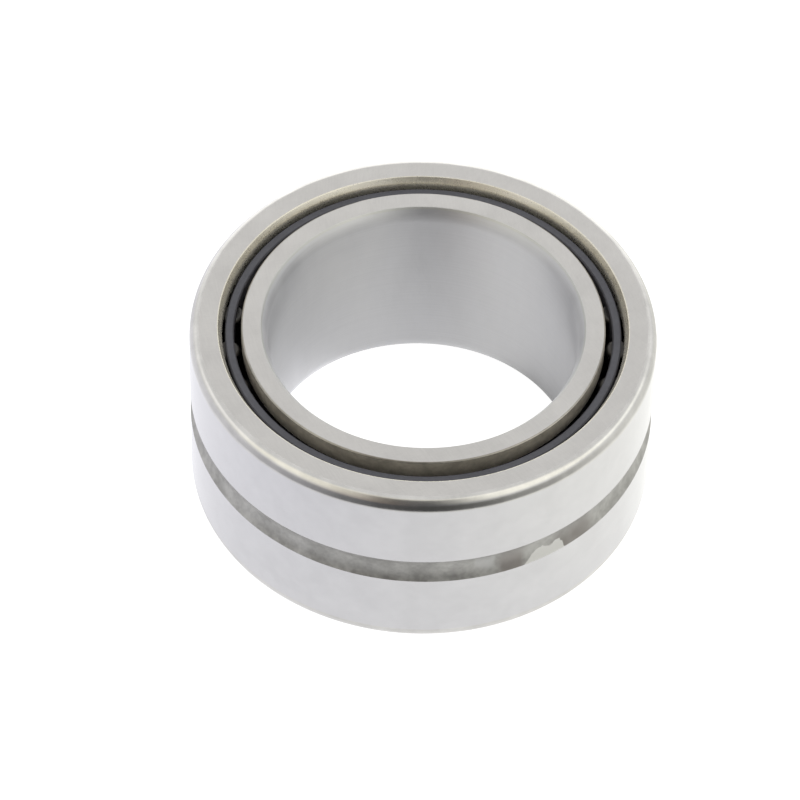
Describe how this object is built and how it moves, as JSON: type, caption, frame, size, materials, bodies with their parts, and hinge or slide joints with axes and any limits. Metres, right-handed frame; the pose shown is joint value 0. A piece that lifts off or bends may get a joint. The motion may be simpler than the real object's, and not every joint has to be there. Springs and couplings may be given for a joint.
{
  "type": "needle roller bearing",
  "caption": "Machined-ring needle roller bearing with a grooved outer ring, a flush inner ring, a polymer cage and one row of needle rollers.",
  "frame": {"origin": "centre of the bearing: on its axis, halfway between its two side faces", "axes": "+Z along the axis of rotation; +Y towards the oil hole in the outer ring"},
  "size_m": [0.045, 0.045, 0.02],
  "materials": {
    "outer_ring_steel": "ground bearing steel, satin side faces and a finely ground outside",
    "inner_ring_steel": "ground bearing steel, satin side faces",
    "cage_polymer": "moulded black glass-filled polyamide with a soft sheen",
    "roller_steel": "polished bearing steel"
  },
  "bodies": {
    "outer_ring": {"outer_ring": "outer_ring_steel"},
    "inner_ring": {"inner_ring": "inner_ring_steel"},
    "cage": {"cage": "cage_polymer"},
    "needle_roller_01": {"needle_roller_01": "roller_steel"},
    "needle_roller_02": {"needle_roller_02": "roller_steel"},
    "needle_roller_03": {"needle_roller_03": "roller_steel"},
    "needle_roller_04": {"needle_roller_04": "roller_steel"},
    "needle_roller_05": {"needle_roller_05": "roller_steel"},
    "needle_roller_06": {"needle_roller_06": "roller_steel"},
    "needle_roller_07": {"needle_roller_07": "roller_steel"},
    "needle_roller_08": {"needle_roller_08": "roller_steel"},
    "needle_roller_09": {"needle_roller_09": "roller_steel"},
    "needle_roller_10": {"needle_roller_10": "roller_steel"},
    "needle_roller_11": {"needle_roller_11": "roller_steel"},
    "needle_roller_12": {"needle_roller_12": "roller_steel"},
    "needle_roller_13": {"needle_roller_13": "roller_steel"},
    "needle_roller_14": {"needle_roller_14": "roller_steel"},
    "needle_roller_15": {"needle_roller_15": "roller_steel"},
    "needle_roller_16": {"needle_roller_16": "roller_steel"},
    "needle_roller_17": {"needle_roller_17": "roller_steel"},
    "needle_roller_18": {"needle_roller_18": "roller_steel"},
    "needle_roller_19": {"needle_roller_19": "roller_steel"},
    "needle_roller_20": {"needle_roller_20": "roller_steel"},
    "needle_roller_21": {"needle_roller_21": "roller_steel"},
    "needle_roller_22": {"needle_roller_22": "roller_steel"},
    "needle_roller_23": {"needle_roller_23": "roller_steel"},
    "needle_roller_24": {"needle_roller_24": "roller_steel"},
    "needle_roller_25": {"needle_roller_25": "roller_steel"}
  },
  "joints": [
    {"name": "inner_ring_spin", "type": "hinge", "parent": "outer_ring", "child": "inner_ring", "pos_m": [0, 0, 0], "axis": [0, 0, 1], "continuous": true},
    {"name": "cage_orbit", "type": "hinge", "parent": "outer_ring", "child": "cage", "pos_m": [0, 0, 0], "axis": [0, 0, 1], "continuous": true},
    {"name": "roller_spin_01", "type": "hinge", "parent": "cage", "child": "needle_roller_01", "pos_m": [0.01877, -0.00049, 0], "axis": [0, 0, 1], "continuous": true},
    {"name": "roller_spin_02", "type": "hinge", "parent": "cage", "child": "needle_roller_02", "pos_m": [0.01831, 0.00419, 0], "axis": [0, 0, 1], "continuous": true},
    {"name": "roller_spin_03", "type": "hinge", "parent": "cage", "child": "needle_roller_03", "pos_m": [0.01669, 0.00861, 0], "axis": [0, 0, 1], "continuous": true},
    {"name": "roller_spin_04", "type": "hinge", "parent": "cage", "child": "needle_roller_04", "pos_m": [0.01402, 0.01249, 0], "axis": [0, 0, 1], "continuous": true},
    {"name": "roller_spin_05", "type": "hinge", "parent": "cage", "child": "needle_roller_05", "pos_m": [0.01047, 0.01559, 0], "axis": [0, 0, 1], "continuous": true},
    {"name": "roller_spin_06", "type": "hinge", "parent": "cage", "child": "needle_roller_06", "pos_m": [0.00627, 0.0177, 0], "axis": [0, 0, 1], "continuous": true},
    {"name": "roller_spin_07", "type": "hinge", "parent": "cage", "child": "needle_roller_07", "pos_m": [0.00167, 0.01871, 0], "axis": [0, 0, 1], "continuous": true},
    {"name": "roller_spin_08", "type": "hinge", "parent": "cage", "child": "needle_roller_08", "pos_m": [-0.00303, 0.01853, 0], "axis": [0, 0, 1], "continuous": true},
    {"name": "roller_spin_09", "type": "hinge", "parent": "cage", "child": "needle_roller_09", "pos_m": [-0.00755, 0.0172, 0], "axis": [0, 0, 1], "continuous": true},
    {"name": "roller_spin_10", "type": "hinge", "parent": "cage", "child": "needle_roller_10", "pos_m": [-0.01159, 0.01478, 0], "axis": [0, 0, 1], "continuous": true},
    {"name": "roller_spin_11", "type": "hinge", "parent": "cage", "child": "needle_roller_11", "pos_m": [-0.0149, 0.01143, 0], "axis": [0, 0, 1], "continuous": true},
    {"name": "roller_spin_12", "type": "hinge", "parent": "cage", "child": "needle_roller_12", "pos_m": [-0.01727, 0.00737, 0], "axis": [0, 0, 1], "continuous": true},
    {"name": "roller_spin_13", "type": "hinge", "parent": "cage", "child": "needle_roller_13", "pos_m": [-0.01856, 0.00284, 0], "axis": [0, 0, 1], "continuous": true},
    {"name": "roller_spin_14", "type": "hinge", "parent": "cage", "child": "needle_roller_14", "pos_m": [-0.01869, -0.00187, 0], "axis": [0, 0, 1], "continuous": true},
    {"name": "roller_spin_15", "type": "hinge", "parent": "cage", "child": "needle_roller_15", "pos_m": [-0.01764, -0.00645, 0], "axis": [0, 0, 1], "continuous": true},
    {"name": "roller_spin_16", "type": "hinge", "parent": "cage", "child": "needle_roller_16", "pos_m": [-0.01548, -0.01064, 0], "axis": [0, 0, 1], "continuous": true},
    {"name": "roller_spin_17", "type": "hinge", "parent": "cage", "child": "needle_roller_17", "pos_m": [-0.01235, -0.01415, 0], "axis": [0, 0, 1], "continuous": true},
    {"name": "roller_spin_18", "type": "hinge", "parent": "cage", "child": "needle_roller_18", "pos_m": [-0.00844, -0.01678, 0], "axis": [0, 0, 1], "continuous": true},
    {"name": "roller_spin_19", "type": "hinge", "parent": "cage", "child": "needle_roller_19", "pos_m": [-0.004, -0.01835, 0], "axis": [0, 0, 1], "continuous": true},
    {"name": "roller_spin_20", "type": "hinge", "parent": "cage", "child": "needle_roller_20", "pos_m": [0.00069, -0.01877, 0], "axis": [0, 0, 1], "continuous": true},
    {"name": "roller_spin_21", "type": "hinge", "parent": "cage", "child": "needle_roller_21", "pos_m": [0.00533, -0.01801, 0], "axis": [0, 0, 1], "continuous": true},
    {"name": "roller_spin_22", "type": "hinge", "parent": "cage", "child": "needle_roller_22", "pos_m": [0.00964, -0.01611, 0], "axis": [0, 0, 1], "continuous": true},
    {"name": "roller_spin_23", "type": "hinge", "parent": "cage", "child": "needle_roller_23", "pos_m": [0.01335, -0.01321, 0], "axis": [0, 0, 1], "continuous": true},
    {"name": "roller_spin_24", "type": "hinge", "parent": "cage", "child": "needle_roller_24", "pos_m": [0.01621, -0.00948, 0], "axis": [0, 0, 1], "continuous": true},
    {"name": "roller_spin_25", "type": "hinge", "parent": "cage", "child": "needle_roller_25", "pos_m": [0.01806, -0.00514, 0], "axis": [0, 0, 1], "continuous": true}
  ],
  "couplings": [
    {"joint": "cage_orbit", "follows": "inner_ring_spin", "ratio": 0.46667},
    {"joint": "roller_spin_01", "follows": "inner_ring_spin", "ratio": -7.4667},
    {"joint": "roller_spin_02", "follows": "inner_ring_spin", "ratio": -7.4667},
    {"joint": "roller_spin_03", "follows": "inner_ring_spin", "ratio": -7.4667},
    {"joint": "roller_spin_04", "follows": "inner_ring_spin", "ratio": -7.4667},
    {"joint": "roller_spin_05", "follows": "inner_ring_spin", "ratio": -7.4667},
    {"joint": "roller_spin_06", "follows": "inner_ring_spin", "ratio": -7.4667},
    {"joint": "roller_spin_07", "follows": "inner_ring_spin", "ratio": -7.4667},
    {"joint": "roller_spin_08", "follows": "inner_ring_spin", "ratio": -7.4667},
    {"joint": "roller_spin_09", "follows": "inner_ring_spin", "ratio": -7.4667},
    {"joint": "roller_spin_10", "follows": "inner_ring_spin", "ratio": -7.4667},
    {"joint": "roller_spin_11", "follows": "inner_ring_spin", "ratio": -7.4667},
    {"joint": "roller_spin_12", "follows": "inner_ring_spin", "ratio": -7.4667},
    {"joint": "roller_spin_13", "follows": "inner_ring_spin", "ratio": -7.4667},
    {"joint": "roller_spin_14", "follows": "inner_ring_spin", "ratio": -7.4667},
    {"joint": "roller_spin_15", "follows": "inner_ring_spin", "ratio": -7.4667},
    {"joint": "roller_spin_16", "follows": "inner_ring_spin", "ratio": -7.4667},
    {"joint": "roller_spin_17", "follows": "inner_ring_spin", "ratio": -7.4667},
    {"joint": "roller_spin_18", "follows": "inner_ring_spin", "ratio": -7.4667},
    {"joint": "roller_spin_19", "follows": "inner_ring_spin", "ratio": -7.4667},
    {"joint": "roller_spin_20", "follows": "inner_ring_spin", "ratio": -7.4667},
    {"joint": "roller_spin_21", "follows": "inner_ring_spin", "ratio": -7.4667},
    {"joint": "roller_spin_22", "follows": "inner_ring_spin", "ratio": -7.4667},
    {"joint": "roller_spin_23", "follows": "inner_ring_spin", "ratio": -7.4667},
    {"joint": "roller_spin_24", "follows": "inner_ring_spin", "ratio": -7.4667},
    {"joint": "roller_spin_25", "follows": "inner_ring_spin", "ratio": -7.4667}
  ]
}
